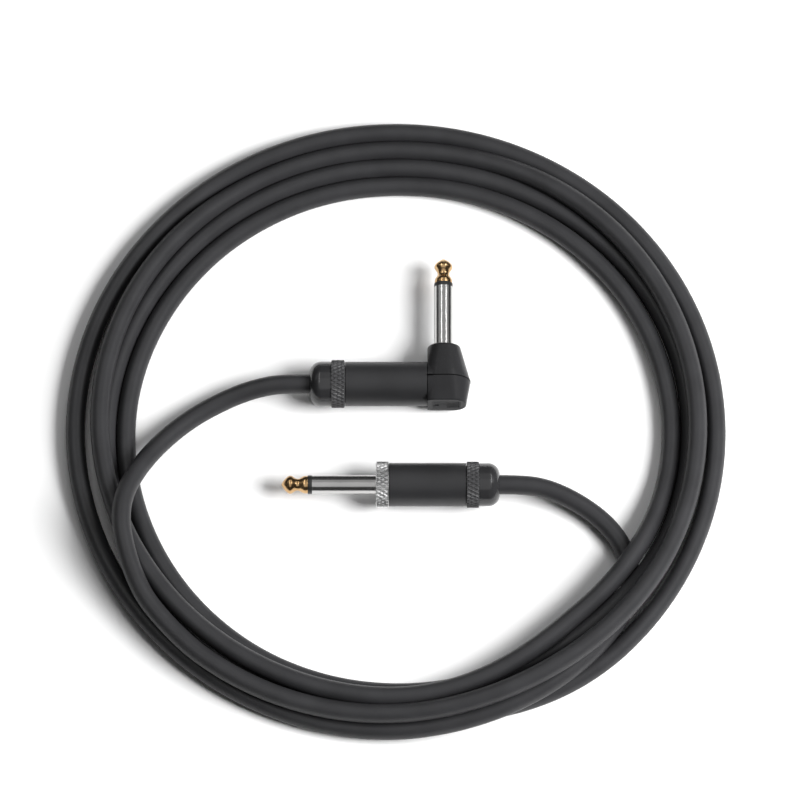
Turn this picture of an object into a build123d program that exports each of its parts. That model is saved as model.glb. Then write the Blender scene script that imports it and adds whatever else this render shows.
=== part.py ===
"""Instrument cable: a coiled jacketed lead with a straight and a right-angle 6.35 mm jack plug.

Millimetres, +Z up, lying on the plane Z = 0. The origin is on that plane, under the centre of the
box round the two plugs. The straight plug lies along X with its tip towards -X. The right-angle
plug's barrel lies along X, its cable end towards -X, and its shaft points along +Y.

Two working frames are used. A "finger" frame has its origin at a plug's tip and +X running back
along the shaft. A "barrel" frame has its origin on the axis at the rear end face of the shell and
+X running back along the cable.
"""
from build123d import *
import math
import os

# ---- driving dimensions ------------------------------------------------------------------------

CABLE_D = 6.5
CABLE_R = CABLE_D / 2

# jack contacts, the same in both plugs
SHAFT_R = 3.175
TIP_L = 8.9
TIP_RING_L = 1.4
SHAFT_L = 31.8                    # tip to the front of the plug's body
SEAT_R = 3.5                      # the sleeve inside the body
STEM_R = 1.2
STEM_TUBE_R = 1.9
FLANGE_R = 4.4                    # the sleeve's flange inside the body
FLANGE_X = 36.8
FLANGE_T = 2.0
LUG_T = 0.5
TIP_LUG_R = 2.6
WASHER_R = 3.4
WASHER_T = 0.8
GROUND_LUG_X = FLANGE_X + FLANGE_T
WASHER_X = GROUND_LUG_X + LUG_T
TIP_LUG_X = WASHER_X + WASHER_T
TIP_LUG_END = 46.8
GROUND_LUG_L = 12.0               # how far the straight plug's ground lug reaches into its shell

# barrel: shell, liner, chuck, back ring and boot
GAP = 0.1                         # between a fixed piece and one that moves
RUNNING = 0.08                    # radial clearance of a running fit
BORE_R = 6.2                      # shell's bore, and the outside of its rear thread
REAR_BORE_R = 5.2
LINER_T = 0.6
SPIGOT_L = 6.2
STEP_X = -5.2                     # where the shell's bore narrows
CHUCK_FRONT = -4.6
STRIP_X = -11.7                   # end of the stripped jacket
BOOT_BORE_R = 3.4
TONGUE_R = 6.8
TONGUE_L = 1.5
LINER_CLEAR = 0.2                 # between the liner and the part before it
CHUCK_NOSE = 1.0
CHUCK_SLOT_W = 0.8
CHUCK_SLOT_END = SPIGOT_L - 2.6
CRADLE_FRONT = 5.0                # from the stripped jacket's end to the two ends of the crimp band
CRADLE_BACK = 2.0

STRAIGHT = {
    "shell_r": 7.3, "shell_l": 26.0,
    "ring_r": 7.8, "ring_w": 4.5,
    "boot_r": 7.3, "boot_l": 6.8,
}
ANGLE = {
    "shell_r": 7.5, "shell_l": 27.75,
    "ring_r": 8.1, "ring_w": 4.8,
    "boot_r": 7.6, "boot_l": 7.3,
}
EDGE_R = 0.3                      # rounding on a ring's rims
SHELL_EDGE_R = 0.2

FRONT_RING_W = 4.4
FRONT_RING_R = 7.8
HUB_L = 4.0

# right-angle head
NECK_L = 13.2                     # neck face to barrel axis
CAP_L = 7.6                       # barrel axis to cap face
SPLIT_L = 0.6                     # barrel axis to the seam, towards the neck
HEAD_OVERLAP = 5.45               # shaft axis to the shell's front end
CAVITY_R = 5.2
CAVITY_END = 4.5                  # barrel axis to the cavity's closed end
HEAD_SPIGOT_L = 4.0
NECK_SIZE = (10.8, 10.8, 5.0)     # width, height and corner radius of the head's three sections
NECK_SHIFT = 0.2
BELLY_SIZE = (18.2, 16.0, 7.6)
BACK_SIZE = (15.2, 11.4, 4.5)
NECK_ROUND = 1.0
BACK_ROUND = 0.7
CAP_SIZE = (9.6, 7.4, 1.6)        # width, height and corner radius
CAP_SHIFT = 1.0
CAP_T = 1.3
CAP_CUT = 0.3                     # depth of the grip grooves and the square recess
GROOVES = 7
GROOVE_START = 1.2
GROOVE_PITCH = 0.62
GROOVE_W = 0.3
GROOVE_HALF_L = 2.4
RECESS = (-3.0, -1.6, -0.7, 0.7)

# cable stripped inside a plug
CORE_R = 1.4
WIRE_R = 0.45
TAIL_R = 0.8
STRAP_Z = -3.55                   # top of the ground strap
STRAP_W = 3.2
SOLDER_R = 1.1
SOLDER_FILM = 0.1                 # solder under the wire and under the shield tail
TAB_Z = -WIRE_R - SOLDER_FILM     # top of the tip lug's tab
TIP_BEAD = 0.5                    # from the wire's end to its solder bead
GROUND_BEAD = 1.0                 # from the shield tail's end to its solder bead
TAIL_TIP = -17.2                  # ends of the stripped parts, in the barrel frame
STRAIGHT_WIRE_TIP = -18.5
STRAIGHT_CORE_TIP = -14.2
ANGLE_WIRE_TIP = -ANGLE["shell_l"] - HEAD_OVERLAP
ANGLE_CORE_TIP = -ANGLE["shell_l"] - 1.5

# places
STRAIGHT_L = SHAFT_L + FRONT_RING_W + STRAIGHT["shell_l"] + STRAIGHT["ring_w"] + STRAIGHT["boot_l"]
STRAIGHT_TIP = (-STRAIGHT_L / 2, -36.6, STRAIGHT["ring_r"])
ANGLE_AXIS_Y = -0.6
ANGLE_AXIS_Z = ANGLE["ring_r"]
ANGLE_SHAFT_X = 17.9
ANGLE_TIP = (ANGLE_SHAFT_X, ANGLE_AXIS_Y + NECK_L + SHAFT_L, ANGLE_AXIS_Z)

COIL_CENTRE = (1.8, -15.6)
COIL_INNER_R = 84.8
COIL_OUTER_R = 111.4
COIL_H = 13.4
COIL_FOOT_R = 3.0
COIL_SHOULDER_R = 4.5

STRAIGHT_ROUTE = [
    (36.75, -36.6, 7.8),
    (50.25, -36.6, 7.8),
    (63.6, -40.9, 5.2),
    (74.7, -49.4, 3.5),
    (82.3, -61.2, 3.25),
    (85.8, -74.0, 3.25),
]
ANGLE_ROUTE = [
    (-27.4, -0.6, 8.1),
    (-41.5, -0.6, 8.1),
    (-56.5, -4.8, 4.6),
    (-69.8, -12.9, 3.8),
    (-80.0, -24.0, 7.0),
    (-87.2, -36.4, 9.8),
]

straight_rear = STRAIGHT_TIP[0] + SHAFT_L + FRONT_RING_W + STRAIGHT["shell_l"]
straight_finger = Location(STRAIGHT_TIP)
straight_barrel = Location((straight_rear,) + STRAIGHT_TIP[1:])
angle_finger = Location(ANGLE_TIP, (0, 0, -90))
angle_shell_front = ANGLE_SHAFT_X - HEAD_OVERLAP
angle_barrel = Location((angle_shell_front - ANGLE["shell_l"], ANGLE_AXIS_Y, ANGLE_AXIS_Z), (0, 0, 180))

nodes = {}


# ---- helpers -----------------------------------------------------------------------------------

def rod(x0, x1, r, y=0.0, z=0.0):
    """A cylinder along X."""
    return Pos((x0 + x1) / 2, y, z) * Rot(0, 90, 0) * Cylinder(r, x1 - x0)


def tube(x0, x1, outer, inner):
    """A round tube along X."""
    return rod(x0, x1, outer) - rod(x0, x1, inner)


def block(x0, x1, y0, y1, z0, z1):
    """A box between two corners."""
    return Pos((x0 + x1) / 2, (y0 + y1) / 2, (z0 + z1) / 2) * Box(x1 - x0, y1 - y0, z1 - z0)


def edge_round(piece, x, radius, outer):
    """Round the circular edges of radius outer that lie in the plane X = x."""
    picked = [e for e in piece.edges().filter_by(GeomType.CIRCLE)
              if abs(e.arc_center.X - x) < 1e-3 and abs(e.radius - outer) < 1e-3]
    return fillet(picked, radius)


# ---- contacts ----------------------------------------------------------------------------------

def tip_contact():
    """Pointed nose, ball, waist and collar, on a stem that runs back through the sleeve."""
    cone_end = (2.15, 2.45)
    ball_top = (2.95, SHAFT_R - 0.05)
    ball_end = (3.85, 2.75)
    waist_start = (5.1, 1.95)
    waist_end = (6.9, 1.95)
    collar_start = (8.3, 3.0)
    collar_end = (TIP_L, 3.0)
    outline = [
        Line((0, 0), cone_end),
        ThreePointArc(cone_end, ball_top, ball_end),
        Spline(ball_end, waist_start, tangents=[(0.75, -0.6), (1, 0)]),
        Line(waist_start, waist_end),
        Spline(waist_end, collar_start, tangents=[(1, 0), (0.35, 0.9)]),
        Line(collar_start, collar_end),
        Line(collar_end, (TIP_L, 0)),
        Line((TIP_L, 0), (0, 0)),
    ]
    nose = revolve(make_face(outline), Axis.X)
    return nose + rod(TIP_L, TIP_LUG_X + LUG_T, STEM_R)


def tip_ring():
    return edge_round(tube(TIP_L, TIP_L + TIP_RING_L, SHAFT_R, STEM_R), TIP_L, 0.25, SHAFT_R)


def sleeve():
    """Sleeve contact with the flange that seats it in the plug's body."""
    body = rod(TIP_L + TIP_RING_L, SHAFT_L, SHAFT_R) + rod(SHAFT_L, FLANGE_X, SEAT_R)
    body += rod(FLANGE_X, FLANGE_X + FLANGE_T, FLANGE_R)
    return body - rod(TIP_L + TIP_RING_L, FLANGE_X + FLANGE_T, STEM_TUBE_R)


def stem_tube():
    return tube(TIP_L + TIP_RING_L, WASHER_X, STEM_TUBE_R, STEM_R)


def lug_washer():
    return tube(WASHER_X, TIP_LUG_X, WASHER_R, STEM_R)


def tip_lug():
    """Riveted disc with a flat tab that the wire is soldered to."""
    disc = rod(TIP_LUG_X, TIP_LUG_X + LUG_T, TIP_LUG_R)
    tab = block(TIP_LUG_X, TIP_LUG_END, -SOLDER_R, SOLDER_R, TAB_Z - LUG_T, TAB_Z)
    return disc + tab - rod(TIP_LUG_X, TIP_LUG_X + LUG_T, STEM_R)


def ground_ring():
    return tube(GROUND_LUG_X, GROUND_LUG_X + LUG_T, FLANGE_R - GAP, STEM_TUBE_R)


def strap(x0, x1):
    return block(x0, x1, -STRAP_W / 2, STRAP_W / 2, STRAP_Z - LUG_T, STRAP_Z)


def cradle():
    """Open crimp band round the jacket, in the barrel frame."""
    x0 = STRIP_X + CRADLE_BACK
    x1 = STRIP_X + CRADLE_FRONT
    band = tube(x0, x1, CABLE_R + LUG_T, CABLE_R)
    return band - block(x0, x1, -STRAP_W / 2, STRAP_W / 2, 0, CABLE_R + 1)


def add_contacts(prefix, finger, barrel):
    """Everything on the shaft, and the ground lug, which runs on into the barrel."""
    for name, maker in (("tip", tip_contact), ("tip_ring", tip_ring), ("sleeve", sleeve),
                        ("stem_tube", stem_tube), ("lug_washer", lug_washer), ("tip_lug", tip_lug)):
        nodes[f"{prefix}_{name}"] = finger * maker()
    finger_end = TIP_LUG_END if prefix == "angle" else SHAFT_L + GROUND_LUG_L
    on_shaft = finger * (ground_ring() + strap(GROUND_LUG_X, finger_end))
    reach = (barrel.inverse() * finger * Pos(finger_end, 0, 0)).position.X
    in_barrel = barrel * (cradle() + strap(reach, STRIP_X + CRADLE_FRONT))
    nodes[f"{prefix}_ground_lug"] = on_shaft + in_barrel


# ---- barrel ------------------------------------------------------------------------------------

def shell(size):
    """Round shell with a narrowed rear bore and the rear thread's spigot."""
    front = -size["shell_l"]
    body = edge_round(rod(front, 0, size["shell_r"]), front, SHELL_EDGE_R, size["shell_r"])
    body = edge_round(body, 0, SHELL_EDGE_R, size["shell_r"]) + rod(0, SPIGOT_L, BORE_R)
    body = edge_round(body, SPIGOT_L, EDGE_R, BORE_R)
    return body - rod(front, STEP_X, BORE_R) - rod(STEP_X, SPIGOT_L, REAR_BORE_R)


def liner(size, clear):
    return tube(-size["shell_l"] + clear, STEP_X - GAP, BORE_R, BORE_R - LINER_T)


def chuck():
    """Slotted collet round the jacket, with a coned nose."""
    body = rod(CHUCK_FRONT, SPIGOT_L + GAP, REAR_BORE_R - RUNNING)
    nose = [e for e in body.edges().filter_by(GeomType.CIRCLE) if e.arc_center.X < 0]
    body = chamfer(nose, CHUCK_NOSE) - rod(CHUCK_FRONT, SPIGOT_L + GAP, CABLE_R + RUNNING)
    half = CHUCK_SLOT_W / 2
    slot = block(CHUCK_FRONT, CHUCK_SLOT_END, -half, half, -REAR_BORE_R, REAR_BORE_R)
    for turn in (0, 90):
        body -= Rot(turn, 0, 0) * slot
    return body


def back_ring(size):
    """Threaded ring; its rear counterbore takes the boot's tongue."""
    body = rod(GAP, size["ring_w"], size["ring_r"])
    body = edge_round(body, GAP, EDGE_R, size["ring_r"])
    body = edge_round(body, size["ring_w"], EDGE_R, size["ring_r"])
    body -= rod(GAP, size["ring_w"], BORE_R + RUNNING)
    return body - rod(size["ring_w"] - TONGUE_L, size["ring_w"], TONGUE_R)


def boot(size):
    """Domed strain-relief boot, open at the back for the cable."""
    front, end = size["ring_w"], size["ring_w"] + size["boot_l"]
    dome_r = size["boot_r"] - BOOT_BORE_R - 0.05
    body = edge_round(rod(front, end, size["boot_r"]), end, dome_r, size["boot_r"])
    body += rod(front - TONGUE_L, front, TONGUE_R)
    body -= rod(front - TONGUE_L, SPIGOT_L + 2 * GAP, BORE_R + RUNNING)
    return body - rod(front, end, BOOT_BORE_R)


def add_barrel(prefix, size, barrel, liner_clear):
    end = size["ring_w"] + size["boot_l"]
    nodes[f"{prefix}_shell"] = barrel * shell(size)
    nodes[f"{prefix}_liner"] = barrel * liner(size, liner_clear)
    nodes[f"{prefix}_chuck"] = barrel * chuck()
    nodes[f"{prefix}_back_ring"] = barrel * back_ring(size)
    nodes[f"{prefix}_boot"] = barrel * boot(size)
    nodes[f"{prefix}_jacket_end"] = barrel * rod(STRIP_X, end, CABLE_R)


# ---- stripped cable ends -----------------------------------------------------------------------

def add_wiring(prefix, barrel, wire_tip, core_tip):
    """Core, copper wire, shield tail and solder; the two tips are places in the barrel frame."""
    wire = rod(wire_tip, STRIP_X, WIRE_R)
    core = rod(core_tip, STRIP_X, CORE_R) - wire
    tail = rod(TAIL_TIP, STRIP_X, TAIL_R, z=STRAP_Z + SOLDER_FILM + TAIL_R)
    nodes[f"{prefix}_wire"] = barrel * wire
    nodes[f"{prefix}_core"] = barrel * core
    nodes[f"{prefix}_shield_tail"] = barrel * tail
    above = block(-SOLDER_R, SOLDER_R, -SOLDER_R, SOLDER_R, 0, SOLDER_R)
    bead = Sphere(SOLDER_R) & above
    tip_bead = barrel * (Pos(wire_tip + TIP_BEAD, 0, TAB_Z) * bead - wire)
    ground_bead = barrel * (Pos(TAIL_TIP + GROUND_BEAD, 0, STRAP_Z) * bead - tail)
    nodes[f"{prefix}_solder"] = Compound(tip_bead.solids() + ground_bead.solids())


# ---- straight plug's front ring ----------------------------------------------------------------

def front_ring():
    """Knurled ring and the hub that the shell fits over, in the finger frame."""
    shell_x = SHAFT_L + FRONT_RING_W
    ring = rod(SHAFT_L, shell_x, FRONT_RING_R)
    ring = edge_round(ring, SHAFT_L, EDGE_R, FRONT_RING_R)
    ring = edge_round(ring, shell_x, EDGE_R, FRONT_RING_R) + rod(shell_x, shell_x + HUB_L, BORE_R)
    return ring - rod(SHAFT_L, FLANGE_X, SEAT_R) - rod(FLANGE_X, shell_x + HUB_L, FLANGE_R)


# ---- right-angle head, in the finger frame -----------------------------------------------------

def head_section(x, size, shift):
    plane = Plane(origin=(x, shift, 0), x_dir=(0, 1, 0), z_dir=(1, 0, 0))
    return plane * RectangleRounded(*size)


def head_outside():
    """Neck, cone and back, cut flat where the shell meets it, with a round stub flush with the shell."""
    axis_x = SHAFT_L + NECK_L
    neck = head_section(SHAFT_L, NECK_SIZE, NECK_SHIFT)
    belly = head_section(axis_x - SPLIT_L, BELLY_SIZE, 0)
    back = head_section(axis_x + CAP_L, BACK_SIZE, 0)
    upper = loft([neck, belly], ruled=True)
    lower = loft([belly, back], ruled=True)
    neck_edge = upper.faces().sort_by(Axis.X)[0].edges()
    back_edge = lower.faces().sort_by(Axis.X)[-1].edges()
    body = fillet(neck_edge, NECK_ROUND) + fillet(back_edge, BACK_ROUND)
    body -= block(0, 2 * axis_x, -30, -HEAD_OVERLAP, -20, 20)
    stub = Pos(axis_x, -HEAD_OVERLAP / 2, 0) * Rot(90, 0, 0) * Cylinder(ANGLE["shell_r"], HEAD_OVERLAP)
    return body + stub


def head_cavity():
    """Room for the lugs on the shaft's axis, and the way through to the barrel."""
    axis_x = SHAFT_L + NECK_L
    shaft_way = rod(SHAFT_L, FLANGE_X, SEAT_R) + rod(FLANGE_X, TIP_LUG_X, FLANGE_R)
    shaft_way += rod(TIP_LUG_X, axis_x + CAVITY_END, CAVITY_R)
    barrel_way = Pos(axis_x, -6, 0) * Rot(90, 0, 0) * Cylinder(CAVITY_R, 12)
    return shaft_way + barrel_way


def head_body():
    axis_x = SHAFT_L + NECK_L
    spigot_y = -HEAD_OVERLAP - HEAD_SPIGOT_L / 2
    spigot = Pos(axis_x, spigot_y, 0) * Rot(90, 0, 0) * Cylinder(BORE_R, HEAD_SPIGOT_L)
    return head_outside() + spigot - head_cavity()


def cap_blank(x0, x1):
    return extrude(head_section(x0, CAP_SIZE, CAP_SHIFT), x1 - x0)


def end_cap(x0, x1):
    """Flush cap with grip grooves on one half and a small square recess on the other."""
    cap = cap_blank(x0, x1)
    for i in range(GROOVES):
        y = GROOVE_START + GROOVE_PITCH * i
        cap -= block(x1 - CAP_CUT, x1, y, y + GROOVE_W, -GROOVE_HALF_L, GROOVE_HALF_L)
    return cap - block(x1 - CAP_CUT, x1, *RECESS)


def add_head():
    body = head_body()
    split = SHAFT_L + NECK_L - SPLIT_L
    cap_x = SHAFT_L + NECK_L + CAP_L
    front = block(0, split, -split, split, -split, split)
    nodes["angle_head_front"] = angle_finger * (body & front)
    nodes["angle_head_back"] = angle_finger * (body - front - cap_blank(cap_x - CAP_T, cap_x))
    nodes["angle_end_cap"] = angle_finger * end_cap(cap_x - CAP_T, cap_x)


# ---- cable -------------------------------------------------------------------------------------

def lead(name, route):
    """A round tube on straight runs joined by arcs, each nearly as large as its two runs allow."""
    points = [Vector(*p) for p in route]
    runs = [b - a for a, b in zip(points, points[1:])]
    radii = []
    for before, after in zip(runs, runs[1:]):
        half_turn = math.radians(before.get_angle(after)) / 2
        radii.append(0.45 * min(before.length, after.length) / math.tan(half_turn))
    path = FilletPolyline(*points, radius=radii)
    piece = sweep(Plane(origin=path @ 0, z_dir=path % 0) * Circle(CABLE_R), path=path)
    ideal = math.pi * CABLE_R ** 2 * path.length
    print(name, "radii", [round(r, 1) for r in radii], "runs", [round(r.length, 1) for r in runs])
    print(name, "length", round(path.length, 1), "volume / ideal", round(piece.volume / ideal, 4))
    return piece


def coil():
    """The outer shape of the wound turns: a low ring with rounded shoulders."""
    width = COIL_OUTER_R - COIL_INNER_R
    middle = (COIL_INNER_R + COIL_OUTER_R) / 2
    section = Plane.XZ * Pos(middle, COIL_H / 2) * Rectangle(width, COIL_H)
    corners = section.vertices().sort_by(Axis.Z)
    section = fillet(corners[:2], COIL_FOOT_R)
    corners = section.vertices().sort_by(Axis.Z)
    section = fillet(corners[-2:], COIL_SHOULDER_R)
    return Pos(*COIL_CENTRE, 0) * revolve(section, Axis.Z)


def add_cable():
    ring = coil()
    nodes["cable_coil"] = ring
    for name, route in (("straight_lead", STRAIGHT_ROUTE), ("angle_lead", ANGLE_ROUTE)):
        outside = (lead(name, route) - ring).solids()
        nodes[name] = outside.sort_by(SortBy.VOLUME)[-1]


# ---- build -------------------------------------------------------------------------------------

nodes["straight_front_ring"] = straight_finger * front_ring()
add_contacts("straight", straight_finger, straight_barrel)
add_barrel("straight", STRAIGHT, straight_barrel, HUB_L + LINER_CLEAR)
add_wiring("straight", straight_barrel, STRAIGHT_WIRE_TIP, STRAIGHT_CORE_TIP)

add_head()
add_contacts("angle", angle_finger, angle_barrel)
add_barrel("angle", ANGLE, angle_barrel, HEAD_SPIGOT_L + LINER_CLEAR)
add_wiring("angle", angle_barrel, ANGLE_WIRE_TIP, ANGLE_CORE_TIP)

add_cable()

os.makedirs("parts", exist_ok=True)
for name, piece in nodes.items():
    export_step(piece, f"parts/{name}.step")
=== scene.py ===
"""Instrument cable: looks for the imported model. Metres, in the CAD frame."""
import bpy
import bmesh
import math
from mathutils import Matrix, Vector


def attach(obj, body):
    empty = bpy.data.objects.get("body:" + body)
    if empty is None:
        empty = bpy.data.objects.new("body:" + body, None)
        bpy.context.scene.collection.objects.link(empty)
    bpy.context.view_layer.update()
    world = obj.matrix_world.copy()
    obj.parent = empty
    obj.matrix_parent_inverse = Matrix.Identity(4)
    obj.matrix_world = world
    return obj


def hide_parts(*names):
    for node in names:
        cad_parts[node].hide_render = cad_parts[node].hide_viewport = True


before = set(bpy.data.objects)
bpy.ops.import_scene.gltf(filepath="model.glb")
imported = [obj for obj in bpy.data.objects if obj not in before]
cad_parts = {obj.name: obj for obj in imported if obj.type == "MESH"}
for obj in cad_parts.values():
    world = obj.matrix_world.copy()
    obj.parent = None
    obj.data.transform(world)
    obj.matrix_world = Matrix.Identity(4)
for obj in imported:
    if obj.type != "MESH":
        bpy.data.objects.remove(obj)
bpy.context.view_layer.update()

MM = 0.001
ROOT = "plugs_and_cable"

# ---- camera ------------------------------------------------------------------------------------

TARGET = Vector((0.0032, -0.0034, 0.0))
VIEW_WIDTH = 0.2703
ELEVATION = math.radians(70)
DISTANCE = 6.0
SENSOR = 36.0
FAR_CLIP = 20

camera_data = bpy.data.cameras.new("camera")
camera_data.sensor_width = SENSOR
camera_data.lens = SENSOR * DISTANCE / VIEW_WIDTH
camera_data.clip_end = FAR_CLIP
camera = bpy.data.objects.new("camera", camera_data)
bpy.context.scene.collection.objects.link(camera)
back = Vector((0, -math.cos(ELEVATION), math.sin(ELEVATION)))
camera.location = TARGET + back * DISTANCE
camera.rotation_euler = back.to_track_quat("Z", "Y").to_euler()
bpy.context.scene.camera = camera


# ---- material helpers --------------------------------------------------------------------------

NOISE_LOW, NOISE_HIGH = 0.3, 0.7   # the part of a noise's range that is spread out
NOISE_DETAIL = 4.0
GRAIN_DEPTH = 0.00002


def new_material(name, color, roughness, metallic=0.0, **sockets):
    """A Principled material; returns it with its node tree and shader."""
    mat = bpy.data.materials.new(name)
    mat.use_nodes = True
    tree = mat.node_tree
    shader = tree.nodes["Principled BSDF"]
    shader.inputs["Base Color"].default_value = (*color, 1)
    shader.inputs["Roughness"].default_value = roughness
    shader.inputs["Metallic"].default_value = metallic
    for key, value in sockets.items():
        shader.inputs[key.replace("_", " ")].default_value = value
    return mat, tree, shader


def noise(tree, scale):
    place = tree.nodes.new("ShaderNodeTexCoord")
    tex = tree.nodes.new("ShaderNodeTexNoise")
    tex.inputs["Scale"].default_value = scale
    tex.inputs["Detail"].default_value = NOISE_DETAIL
    tree.links.new(place.outputs["Object"], tex.inputs["Vector"])
    return tex.outputs["Fac"]


def ramp(tree, fac, low, high):
    """Spread a noise from one colour to another."""
    node = tree.nodes.new("ShaderNodeValToRGB")
    for element, position, color in zip(node.color_ramp.elements, (NOISE_LOW, NOISE_HIGH), (low, high)):
        element.position = position
        element.color = (*color, 1)
    tree.links.new(fac, node.inputs["Fac"])
    return node.outputs["Color"]


def spread(tree, fac, low, high):
    """Spread a noise from one value to another."""
    node = tree.nodes.new("ShaderNodeMapRange")
    node.inputs["From Min"].default_value = NOISE_LOW
    node.inputs["From Max"].default_value = NOISE_HIGH
    node.inputs["To Min"].default_value = low
    node.inputs["To Max"].default_value = high
    tree.links.new(fac, node.inputs["Value"])
    return node.outputs["Result"]


def bump(tree, shader, height, strength):
    node = tree.nodes.new("ShaderNodeBump")
    node.inputs["Strength"].default_value = strength
    node.inputs["Distance"].default_value = GRAIN_DEPTH
    tree.links.new(height, node.inputs["Height"])
    tree.links.new(node.outputs["Normal"], shader.inputs["Normal"])


def finish_material(name, low, high, rough, grain, grain_strength, metallic=0.0, tone_scale=90,
                    **sockets):
    """Colour that drifts over a broad noise, and roughness and bump that follow a fine grain."""
    mat, tree, shader = new_material(name, high, rough[0], metallic, **sockets)
    tone = noise(tree, tone_scale)
    tree.links.new(ramp(tree, tone, low, high), shader.inputs["Base Color"])
    fine = noise(tree, grain)
    tree.links.new(spread(tree, fine, *rough), shader.inputs["Roughness"])
    bump(tree, shader, fine, grain_strength)
    return mat


def paint(obj, *mats):
    obj.data.materials.clear()
    for mat in mats:
        obj.data.materials.append(mat)


def paint_node(name, mat):
    """Give every material slot of a CAD node this material."""
    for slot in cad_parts[name].material_slots:
        slot.link = "OBJECT"
        slot.material = mat


def mesh_object(name, mesh):
    """Turn a bmesh into an object in the scene."""
    data = bpy.data.meshes.new(name)
    mesh.to_mesh(data)
    mesh.free()
    obj = bpy.data.objects.new(name, data)
    bpy.context.scene.collection.objects.link(obj)
    return obj


# ---- cable -------------------------------------------------------------------------------------

CABLE_D = 6.5
COIL_CENTRE = (1.8, -15.6)
LAY_STEP = 7.5                    # degrees between control points of the turns

STRAIGHT_ROUTE = [
    (36.75, -36.6, 7.8), (44.0, -36.6, 7.8), (51.0, -37.3, 7.2), (58.0, -39.6, 6.0), (65.0, -43.2, 4.6),
    (71.5, -48.0, 3.6), (76.6, -54.2, 3.25), (79.6, -60.6, 3.25), (81.0, -67.6, 3.25), (80.4, -74.6, 3.25),
]
ANGLE_ROUTE = [
    (-81.0, -80.4, 10.6), (-85.6, -72.0, 12.8), (-89.0, -62.6, 15.4), (-90.7, -53.2, 16.2),
    (-90.2, -44.6, 15.6), (-87.2, -36.4, 13.2), (-82.0, -27.2, 9.2), (-75.2, -18.8, 6.2),
    (-66.8, -11.4, 4.6), (-57.2, -5.8, 4.6), (-48.2, -2.4, 6.2), (-39.6, -0.8, 7.8),
    (-33.0, -0.6, 8.1), (-27.4, -0.6, 8.1),
]

# where the turns lie: degrees gone round (clockwise from +X), radius, height
LAY = [
    # first turn: from under the others to the outside
    (42, 101.0, 3.9), (48, 103.1, 6.4), (55, 104.8, 9.0), (60, 105.8, 9.6), (70, 107.0, 9.5),
    (80, 107.4, 7.6), (90, 107.4, 4.4), (100, 107.3, 3.25), (120, 107.4, 3.25), (150, 107.9, 3.25),
    (180, 108.2, 3.25), (225, 107.7, 3.25), (270, 107.3, 3.25), (315, 107.8, 3.25), (360, 108.1, 3.25),
    (400, 108.2, 3.25), (410, 108.1, 3.25), (420, 107.2, 3.25), (430, 105.0, 3.25), (440, 102.6, 3.25),
    # second turn
    (450, 100.8, 3.25), (480, 100.0, 3.25), (510, 98.7, 3.25), (540, 97.6, 3.25), (570, 95.9, 3.25),
    (600, 94.7, 3.25), (630, 94.5, 3.25), (645, 94.9, 3.25), (660, 96.2, 3.25), (675, 97.5, 3.25),
    (690, 98.6, 3.25), (705, 99.3, 3.25), (720, 99.5, 3.25), (735, 99.4, 3.6), (745, 99.1, 5.2),
    (750, 98.9, 7.2), (755, 98.8, 9.2), (760, 98.4, 10.1), (765, 97.8, 10.3), (770, 97.2, 8.4),
    (775, 96.0, 5.8), (780, 94.8, 3.9), (790, 94.0, 3.25),
    # third turn, the innermost
    (810, 93.6, 3.25), (840, 93.2, 3.25), (870, 92.1, 3.25), (900, 91.1, 3.25), (930, 89.4, 3.25),
    (960, 88.3, 3.25), (990, 87.9, 3.25), (1020, 89.6, 3.25), (1050, 91.8, 3.25), (1080, 93.0, 3.25),
    (1090, 93.0, 3.6), (1100, 92.8, 6.4), (1107, 92.5, 9.0), (1112, 92.3, 9.9), (1120, 91.7, 10.0),
    (1130, 91.1, 10.0), (1140, 92.4, 10.0), (1150, 94.6, 9.9), (1160, 96.1, 9.3), (1170, 96.9, 8.9),
    # fourth turn, on top of the others where they crowd
    (1200, 97.1, 9.1), (1230, 98.2, 9.6), (1260, 99.9, 9.3), (1290, 100.6, 7.8), (1305, 100.9, 6.2),
    (1320, 101.1, 3.5), (1350, 100.9, 3.25), (1365, 101.3, 3.6), (1380, 101.6, 6.9), (1395, 101.7, 8.2),
    (1410, 101.7, 9.0), (1440, 101.7, 9.3), (1455, 101.9, 9.7), (1465, 102.1, 10.8), (1475, 102.6, 14.2),
    (1480, 102.7, 15.1), (1490, 102.6, 15.2), (1500, 102.7, 15.4), (1510, 102.9, 14.4), (1520, 103.2, 12.5),
    (1530, 103.4, 10.4), (1540, 103.8, 9.6), (1560, 104.8, 9.6), (1574, 105.4, 10.2),
]


def lay_at(turned):
    """Radius and height of the cable after this many degrees."""
    for (a, r0, z0), (b, r1, z1) in zip(LAY, LAY[1:]):
        if a <= turned <= b:
            share = (turned - a) / (b - a)
            return r0 + (r1 - r0) * share, z0 + (z1 - z0) * share


def turn_points():
    """Control points of the wound turns; they stand outside the line by what the spline cuts off."""
    stand_off = 1 + (1 - math.cos(math.radians(LAY_STEP))) / 4
    points = []
    turned = LAY[0][0]
    while turned <= LAY[-1][0]:
        radius, height = lay_at(turned)
        angle = math.radians(-turned)
        points.append((COIL_CENTRE[0] + radius * stand_off * math.cos(angle),
                       COIL_CENTRE[1] + radius * stand_off * math.sin(angle), height))
        turned += LAY_STEP
    return points


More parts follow.
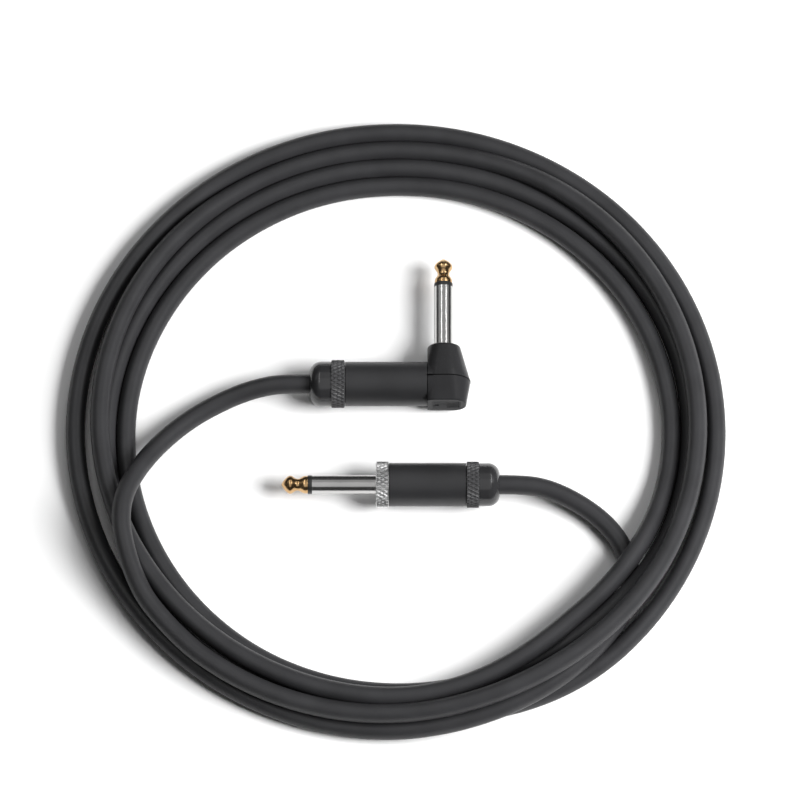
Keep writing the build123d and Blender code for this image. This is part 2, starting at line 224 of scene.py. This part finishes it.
def make_cable():
    curve = bpy.data.curves.new("cable", "CURVE")
    curve.dimensions = "3D"
    curve.bevel_depth = 1.0           # times each point's radius
    curve.bevel_resolution = 9
    curve.use_fill_caps = True
    curve.resolution_u = 10
    points = STRAIGHT_ROUTE + turn_points() + ANGLE_ROUTE
    spline = curve.splines.new("NURBS")
    spline.points.add(len(points) - 1)
    for point, (x, y, z) in zip(spline.points, points):
        point.co = (x * MM, y * MM, z * MM, 1)
        point.radius = CABLE_D / 2 * MM
    spline.order_u = 3
    spline.use_endpoint_u = True
    spline.use_smooth = True
    cable = bpy.data.objects.new("cable", curve)
    bpy.context.scene.collection.objects.link(cable)
    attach(cable, ROOT)
    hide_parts("cable_coil", "straight_lead", "angle_lead")
    return cable


cable = make_cable()

jacket = finish_material("jacket", (0.023, 0.023, 0.0245), (0.030, 0.030, 0.032), (0.42, 0.52),
                         2600, 0.2, Specular_IOR_Level=0.32)
paint(cable, jacket)
for node in ("straight_jacket_end", "angle_jacket_end"):
    paint_node(node, jacket)


# ---- turned pieces -----------------------------------------------------------------------------

PIT_SHADE_DEPTH = 0.14                  # deeper than this, a knurled face takes the second material, a darker copy that paints the pit's shade


def turned_grid(name, profile, depth_at, around, body, node, place, ends=False):
    """A surface of revolution about X with a pattern of pits on it.

    profile is a list of (x, r, share), the share being how much of the pattern shows there;
    depth_at(x, angle) is the pattern's depth in mm. The last row joins the first, unless ends is
    set: then two discs close the surface, and it is smooth.
    """
    mesh = bmesh.new()
    rows = []
    for x, r, share in profile:
        row = []
        for i in range(around):
            angle = 2 * math.pi * i / around
            radius = r - share * depth_at(x, angle)
            row.append(mesh.verts.new((x * MM, radius * math.cos(angle) * MM,
                                       radius * math.sin(angle) * MM)))
        rows.append(row)
    for k in range(len(rows) - 1 if ends else len(rows)):
        after = (k + 1) % len(rows)
        x0, _, share0 = profile[k]
        x1, _, share1 = profile[after]
        for i in range(around):
            j = (i + 1) % around
            face = mesh.faces.new((rows[k][i], rows[k][j], rows[after][j], rows[after][i]))
            middle = depth_at((x0 + x1) / 2, 2 * math.pi * (i + 0.5) / around)
            # faces deep in a pit take material 1, which is painted shade
            face.material_index = 1 if min(share0, share1) == 1 and middle > PIT_SHADE_DEPTH else 0
            face.smooth = ends
    if ends:
        mesh.faces.new(rows[0])
        mesh.faces.new(rows[-1])
    bmesh.ops.recalc_face_normals(mesh, faces=mesh.faces)
    obj = mesh_object(name, mesh)
    obj.data.transform(place)
    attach(obj, body)
    if node:
        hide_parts(node)
    return obj


def plain(x, angle):
    """The pattern of a piece without one."""
    return 0


def placed(x, y, z, turn=0):
    """The placement at a point in mm, turned about Z by so many degrees."""
    return Matrix.Translation(Vector((x, y, z)) * MM) @ Matrix.Rotation(math.radians(turn), 4, "Z")


STRAIGHT_Y, STRAIGHT_Z = -36.6, 7.8
ANGLE_Y, ANGLE_Z = -0.6, 8.1
HEAD_X = 17.9
STRAIGHT_BARREL = placed(25.45, STRAIGHT_Y, STRAIGHT_Z)
ANGLE_BARREL = placed(-15.3, ANGLE_Y, ANGLE_Z, 180)
FRONT_RING = placed(-4.95, STRAIGHT_Y, STRAIGHT_Z)
STRAIGHT_FINGER = placed(-36.75, STRAIGHT_Y, STRAIGHT_Z)
ANGLE_FINGER = placed(HEAD_X, 44.4, ANGLE_Z, -90)


# ---- knurled rings -----------------------------------------------------------------------------

BACK_RING_BORE_R = 6.28
FRONT_RING_BORE_R = 3.6
BACK_KNURL = {"count": 34, "pitch_x": 2.85, "depth": 0.36}
FRONT_KNURL = {"count": 32, "pitch_x": 2.5, "depth": 0.40}
FACETS = 14                       # round the ring in each diamond
RIM = 0.2
# distance in from the ring's end, drop below its face, and share of the pattern
RIM_STEPS = [(0, 0.75, 0), (0.12, 0.42, 0), (0.12, 0.32, 0), (RIM, 0.30, 0.15)]
KNURL_MARGIN = 1.3 * RIM
KNURL_STEPS = 40
PIT_SLOPE = 1.6


def diamonds(count, pitch_x, depth):
    """Diamond knurl: thin ridges on two crossed helices, with a pit in each diamond between them."""
    def depth_at(x, angle):
        turn = angle * count / (2 * math.pi)
        along = x / pitch_x
        one = 1 - abs(((turn + along) % 1) - 0.5) * 2
        two = 1 - abs(((turn - along) % 1) - 0.5) * 2
        return depth * min(1, PIT_SLOPE * min(one, two))
    return depth_at


def ring_profile(x0, x1, outer, inner):
    """Closed outline of a knurled ring: rims, knurled face, then the bore."""
    start, end = x0 + KNURL_MARGIN, x1 - KNURL_MARGIN
    front = [(x0 + dx, outer - drop, share) for dx, drop, share in RIM_STEPS]
    face = [(start + (end - start) * i / KNURL_STEPS, outer, 1) for i in range(KNURL_STEPS + 1)]
    back = [(x1 - dx, outer - drop, share) for dx, drop, share in reversed(RIM_STEPS)]
    return [(x0, inner, 0)] + front + face + back + [(x1, inner, 0)]


# the pit materials are darker copies of the ridge materials: painted shade in the knurls' pits
black_ridge = finish_material("black_ridge", (0.040, 0.040, 0.042), (0.058, 0.058, 0.060), (0.26, 0.36),
                              2600, 0.05, Specular_IOR_Level=0.6)
black_pit_painted_shade = finish_material("black_pit_painted_shade", (0.007, 0.007, 0.0075), (0.011, 0.011, 0.012), (0.45, 0.55),
                            2600, 0.05, Specular_IOR_Level=0.3)
chrome_ridge = finish_material("chrome_ridge", (0.74, 0.74, 0.74), (0.84, 0.84, 0.84), (0.28, 0.38),
                               2600, 0.03, 1.0)
chrome_pit_painted_shade = finish_material("chrome_pit_painted_shade", (0.012, 0.012, 0.0125), (0.026, 0.026, 0.027), (0.35, 0.45),
                             2600, 0.05)

for side, place, width, radius in (("straight", STRAIGHT_BARREL, 4.5, 7.8),
                                   ("angle", ANGLE_BARREL, 4.8, 8.1)):
    ring = turned_grid(f"{side}_knurled_ring", ring_profile(0.1, width, radius, BACK_RING_BORE_R),
                       diamonds(**BACK_KNURL), BACK_KNURL["count"] * FACETS,
                       f"{side}_bushing", f"{side}_back_ring", place)
    paint(ring, black_ridge, black_pit_painted_shade)

front_ring = turned_grid("straight_front_knurl", ring_profile(0.0, 4.4, 7.8, FRONT_RING_BORE_R),
                         diamonds(**FRONT_KNURL), FRONT_KNURL["count"] * FACETS,
                         ROOT, "straight_front_ring", FRONT_RING)
paint(front_ring, chrome_ridge, chrome_pit_painted_shade)


# ---- contact tips ------------------------------------------------------------------------------

SMOOTH_FACETS = 96

# (x, r) from the pointed nose over the ball, waist and collar to the stem inside the sleeve
TIP_OUTLINE = [
    (0.0, 0.12), (0.12, 0.42), (0.45, 1.0), (0.95, 1.68), (1.5, 2.3), (2.0, 2.72), (2.45, 2.97),
    (2.9, 3.08), (3.3, 3.05), (3.7, 2.88), (4.1, 2.6), (4.5, 2.32), (4.9, 2.12), (5.35, 2.02),
    (5.8, 2.06), (6.2, 2.2), (6.6, 2.42), (7.0, 2.68), (7.35, 2.86), (7.75, 2.96), (8.2, 3.0),
    (8.84, 3.0), (8.88, 2.98), (8.9, 2.9), (8.9, 1.2), (40.6, 1.2),
]

gold = finish_material("gold_contact", (0.46, 0.28, 0.13), (0.74, 0.50, 0.26), (0.15, 0.24), 2600, 0.03,
                       1.0, tone_scale=260)
for side, place in (("straight", STRAIGHT_FINGER), ("angle", ANGLE_FINGER)):
    tip = turned_grid(f"{side}_turned_tip", [(x, r, 0) for x, r in TIP_OUTLINE], plain, SMOOTH_FACETS,
                      ROOT, f"{side}_tip", place, ends=True)
    paint(tip, gold)


# ---- CAD nodes' materials ----------------------------------------------------------------------

nickel = finish_material("nickel", (0.52, 0.515, 0.51), (0.59, 0.585, 0.58), (0.17, 0.22), 3000, 0.01,
                         1.0)
insulator = finish_material("insulator", (0.010, 0.010, 0.010), (0.018, 0.018, 0.018), (0.35, 0.5),
                            1800, 0.2)
tin = finish_material("terminal_tin", (0.58, 0.56, 0.50), (0.72, 0.70, 0.64), (0.28, 0.42), 900, 0.2,
                      1.0)
shell = finish_material("shell_satin", (0.019, 0.019, 0.020), (0.024, 0.024, 0.0255), (0.38, 0.44),
                        2200, 0.10, Specular_IOR_Level=0.38)
film = finish_material("liner_film", (0.66, 0.66, 0.62), (0.78, 0.78, 0.74), (0.4, 0.55), 700, 0.1,
                       Transmission_Weight=0.2)
nylon = finish_material("chuck_plastic", (0.70, 0.69, 0.63), (0.82, 0.81, 0.76), (0.4, 0.55), 800,
                        0.15)
boot = finish_material("boot_gloss", (0.021, 0.021, 0.022), (0.026, 0.026, 0.0275), (0.16, 0.19),
                       2600, 0.01, Specular_IOR_Level=0.5)
core = finish_material("core_plastic", (0.78, 0.78, 0.75), (0.88, 0.88, 0.85), (0.35, 0.5), 900, 0.1)
copper = finish_material("copper", (0.60, 0.30, 0.16), (0.78, 0.45, 0.28), (0.25, 0.4), 2500, 0.5, 1.0)
solder = finish_material("solder", (0.60, 0.60, 0.61), (0.76, 0.77, 0.78), (0.2, 0.35), 1500, 0.4, 1.0)
head_back = finish_material("head_back", (0.021, 0.021, 0.022), (0.026, 0.026, 0.0275), (0.22, 0.28),
                            2600, 0.03, Specular_IOR_Level=0.05)
head_front = finish_material("head_gloss", (0.021, 0.021, 0.022), (0.026, 0.026, 0.0275), (0.22, 0.28),
                             2600, 0.03, Specular_IOR_Level=0.14)
cap = finish_material("cap_satin", (0.024, 0.024, 0.025), (0.031, 0.031, 0.033), (0.40, 0.50),
                      2600, 0.05, Specular_IOR_Level=0.04)

for side in ("straight", "angle"):
    for part, mat in (("sleeve", nickel), ("tip_ring", insulator), ("stem_tube", insulator),
                      ("lug_washer", insulator), ("tip_lug", tin), ("ground_lug", tin), ("shell", shell),
                      ("liner", film), ("chuck", nylon), ("boot", boot), ("core", core), ("wire", copper),
                      ("shield_tail", copper), ("solder", solder)):
        paint_node(f"{side}_{part}", mat)
paint_node("angle_head_front", head_front)
paint_node("angle_head_back", head_back)
paint_node("angle_end_cap", cap)


# ---- softened edges on the CAD nodes -----------------------------------------------------------

WELD_DISTANCE = 1e-6
SHARP_ANGLE = math.radians(35)


def soften(name, width):
    """Join the imported mesh's split corners, then round its sharp edges."""
    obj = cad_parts[name]
    weld = obj.modifiers.new("weld", "WELD")
    weld.merge_threshold = WELD_DISTANCE
    edge = obj.modifiers.new("edge", "BEVEL")
    edge.width = width * MM
    edge.segments = 2
    edge.limit_method = "ANGLE"
    edge.angle_limit = SHARP_ANGLE


for node, width in (("angle_head_front", 0.35), ("angle_head_back", 0.35), ("angle_end_cap", 0.1)):
    soften(node, width)


# ---- painted shade: dark strips in the right-angle head's two seams ----------------------------

HEAD_CENTRE = (HEAD_X, 0.0, ANGLE_Z)
HEAD_CUT = -5.45                  # where the head meets the shell, from the shaft's axis
HALF_WIDTH, HALF_HEIGHT, CORNER = 9.1, 8.0, 7.6
CORNER_STEPS = 16
SEAM_SHADE_HALF_T = 0.16
SEAM_SHADE_PROUD = 0.03               # above the head's surface
SEAM_SHADE_DEEP = 0.5                 # below it
# (x, r, share) as turned_grid takes them
SHELL_SEAM_SHADE = [(-27.95, 7.2, 0), (-27.95, 7.45, 0), (-27.88, 7.51, 0),
                (-27.62, 7.51, 0), (-27.55, 7.45, 0), (-27.55, 7.2, 0)]


def seam_shade_line():
    """Points and outward directions round the head's widest section, open where it meets the shell."""
    line = [((HEAD_CUT, HALF_HEIGHT), (0, 1))]
    for side, start in ((1, 90), (-1, 0)):
        for step in range(CORNER_STEPS + 1):
            angle = math.radians(start - 90 * step / CORNER_STEPS)
            out = (math.cos(angle), math.sin(angle))
            line.append(((HALF_WIDTH - CORNER + CORNER * out[0],
                          side * (HALF_HEIGHT - CORNER) + CORNER * out[1]), out))
    line.append(((HEAD_CUT, -HALF_HEIGHT), (0, -1)))
    return line


def make_head_seam_shade():
    """A strip of rectangular section along the seam line, painted dark as the seam's shade."""
    section = ((SEAM_SHADE_PROUD, SEAM_SHADE_HALF_T), (SEAM_SHADE_PROUD, -SEAM_SHADE_HALF_T),
               (-SEAM_SHADE_DEEP, -SEAM_SHADE_HALF_T), (-SEAM_SHADE_DEEP, SEAM_SHADE_HALF_T))
    mesh = bmesh.new()
    rows = []
    for (x, z), (out_x, out_z) in seam_shade_line():
        rows.append([mesh.verts.new(((HEAD_CENTRE[0] + x + out_x * proud) * MM,
                                     (HEAD_CENTRE[1] + y) * MM,
                                     (HEAD_CENTRE[2] + z + out_z * proud) * MM))
                     for proud, y in section])
    for a, b in zip(rows, rows[1:]):
        for i in range(len(section)):
            j = (i + 1) % len(section)
            mesh.faces.new((a[i], a[j], b[j], b[i]))
    mesh.faces.new(rows[0])
    mesh.faces.new(rows[-1])
    bmesh.ops.recalc_face_normals(mesh, faces=mesh.faces)
    seam_shade = mesh_object("angle_head_seam_shade", mesh)
    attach(seam_shade, ROOT)
    return seam_shade


# near-black material: painted shade standing in for the shadowed groove of each seam
seam_painted_shade = finish_material("seam_painted_shade", (0.002, 0.002, 0.002), (0.004, 0.004, 0.004), (0.7, 0.8),
                             1800, 0.1, Specular_IOR_Level=0.05)
paint(make_head_seam_shade(), seam_painted_shade)
shell_seam_shade = turned_grid("angle_shell_seam_shade", SHELL_SEAM_SHADE, plain, SMOOTH_FACETS,
                           ROOT, None, ANGLE_BARREL)
paint(shell_seam_shade, seam_painted_shade)


# ---- floor and lights --------------------------------------------------------------------------

FLOOR_HALF = 3


def make_floor():
    mesh = bmesh.new()
    bmesh.ops.create_grid(mesh, x_segments=8, y_segments=8, size=FLOOR_HALF)
    floor = mesh_object("floor", mesh)
    white = new_material("floor", (0.95, 0.95, 0.95), 0.8, Specular_IOR_Level=0.05)[0]
    paint(floor, white)


def area_light(name, location, size, energy):
    """A rectangular light that faces the origin."""
    data = bpy.data.lights.new(name, "AREA")
    data.shape = "RECTANGLE"
    data.size, data.size_y = size
    data.energy = energy
    light = bpy.data.objects.new(name, data)
    light.location = location
    light.rotation_euler = Vector(location).to_track_quat("Z", "Y").to_euler()
    bpy.context.scene.collection.objects.link(light)
    return light


make_floor()

# these light the scene; only the last is seen in gloss
for name, location, size, energy in (("key", (1.12, -0.32, 1.0), (0.85, 0.85), 46),
                                     ("back", (-0.1, 1.0, 1.25), (1.3, 0.6), 6)):
    lamp = area_light(name, location, size, energy)
    lamp.visible_glossy = False
area_light("side", (0.9, 0.1, 1.2), (0.3, 0.9), 1.2)

# panels that face straight down and are seen only in gloss
for name, location, size, energy in (("sheen", (0.0, -0.8, 1.9), (2.6, 2.3), 12),
                                     ("far_sheen", (0.2, 1.05, 1.9), (8.0, 1.3), 12),
                                     ("left_strip", (-0.76, 0.71, 1.8), (0.12, 2.2), 6),
                                     ("right_strip", (1.18, 0.71, 1.8), (0.12, 2.2), 8)):
    panel = area_light(name, location, size, energy)
    panel.rotation_euler = (0, 0, 0)
    panel.visible_diffuse = False

WORLD_STRENGTH = 0.06

world = bpy.data.worlds.new("world")
world.use_nodes = True
background = world.node_tree.nodes["Background"]
background.inputs["Color"].default_value = (1, 1, 1, 1)
background.inputs["Strength"].default_value = WORLD_STRENGTH
bpy.context.scene.world = world
bpy.context.scene.view_settings.view_transform = "Standard"

bpy.context.view_layer.update()
